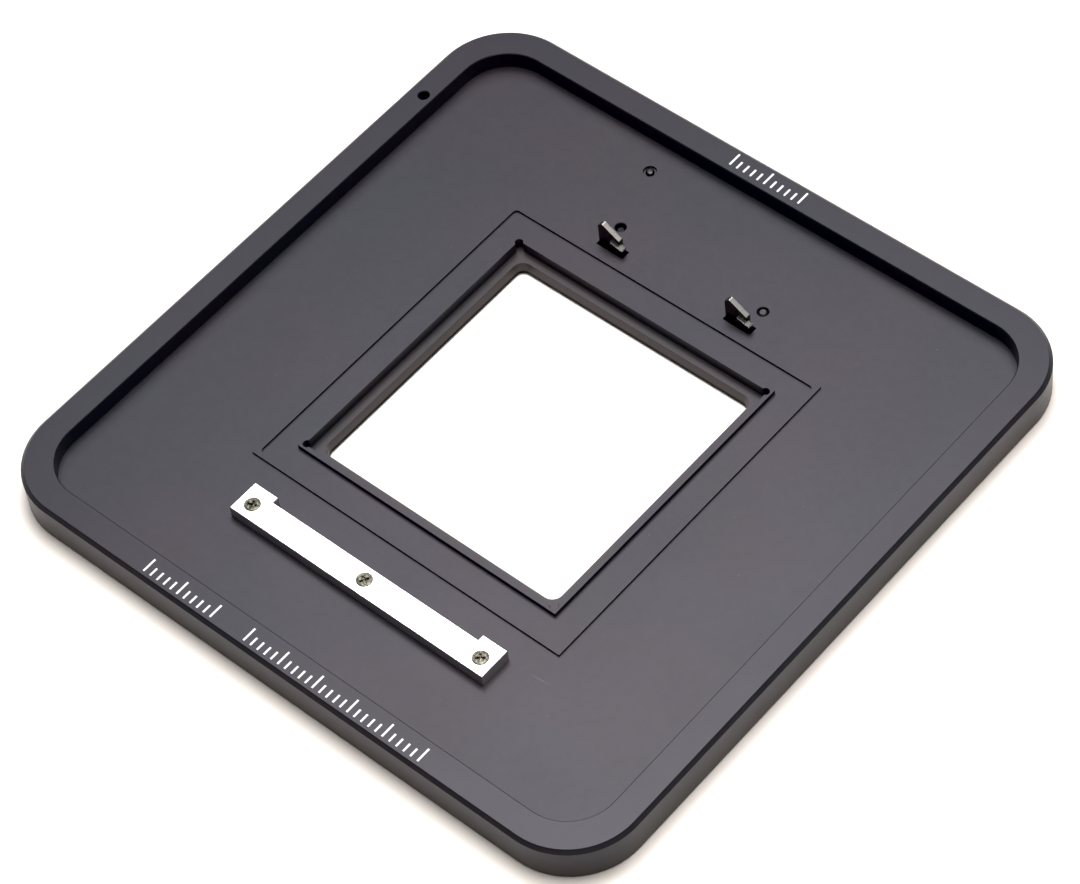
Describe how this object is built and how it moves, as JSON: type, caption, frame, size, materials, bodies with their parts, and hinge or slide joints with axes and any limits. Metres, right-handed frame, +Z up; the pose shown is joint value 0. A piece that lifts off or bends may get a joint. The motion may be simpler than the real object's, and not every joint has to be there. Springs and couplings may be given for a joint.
{
  "type": "film back adapter plate",
  "caption": "Square black plate with a raised rim and a ribbed square aperture in its recessed floor, steel catch hooks on one side of it and a bare metal support bar on the other.",
  "frame": {"origin": "centre of the plate's underside, on the surface that it lies on", "axes": "+Z up through the plate, towards the film back; +Y towards the catch hooks; -Y towards the support bar; the hooks' noses point to +X"},
  "size_m": [0.13, 0.13, 0.0088],
  "materials": {
    "black_anodised": "fine bead-blasted black anodised",
    "bare_aluminium": "milled, uncoated",
    "hook_steel": "ground and polished",
    "plated_screw": "dull plated",
    "black_screw": "blackened",
    "marking_paint": "screen-printed white"
  },
  "bodies": {
    "root": {"plate_body": "black_anodised", "support_bar": "bare_aluminium", "support_bar_screw_left": "plated_screw", "support_bar_screw_centre": "plated_screw", "support_bar_screw_right": "plated_screw", "catch_hook_left": "hook_steel", "catch_hook_right": "hook_steel", "hook_screw_left": "black_screw", "hook_screw_right": "black_screw", "locating_pin": "hook_steel"}
  },
  "joints": []
}
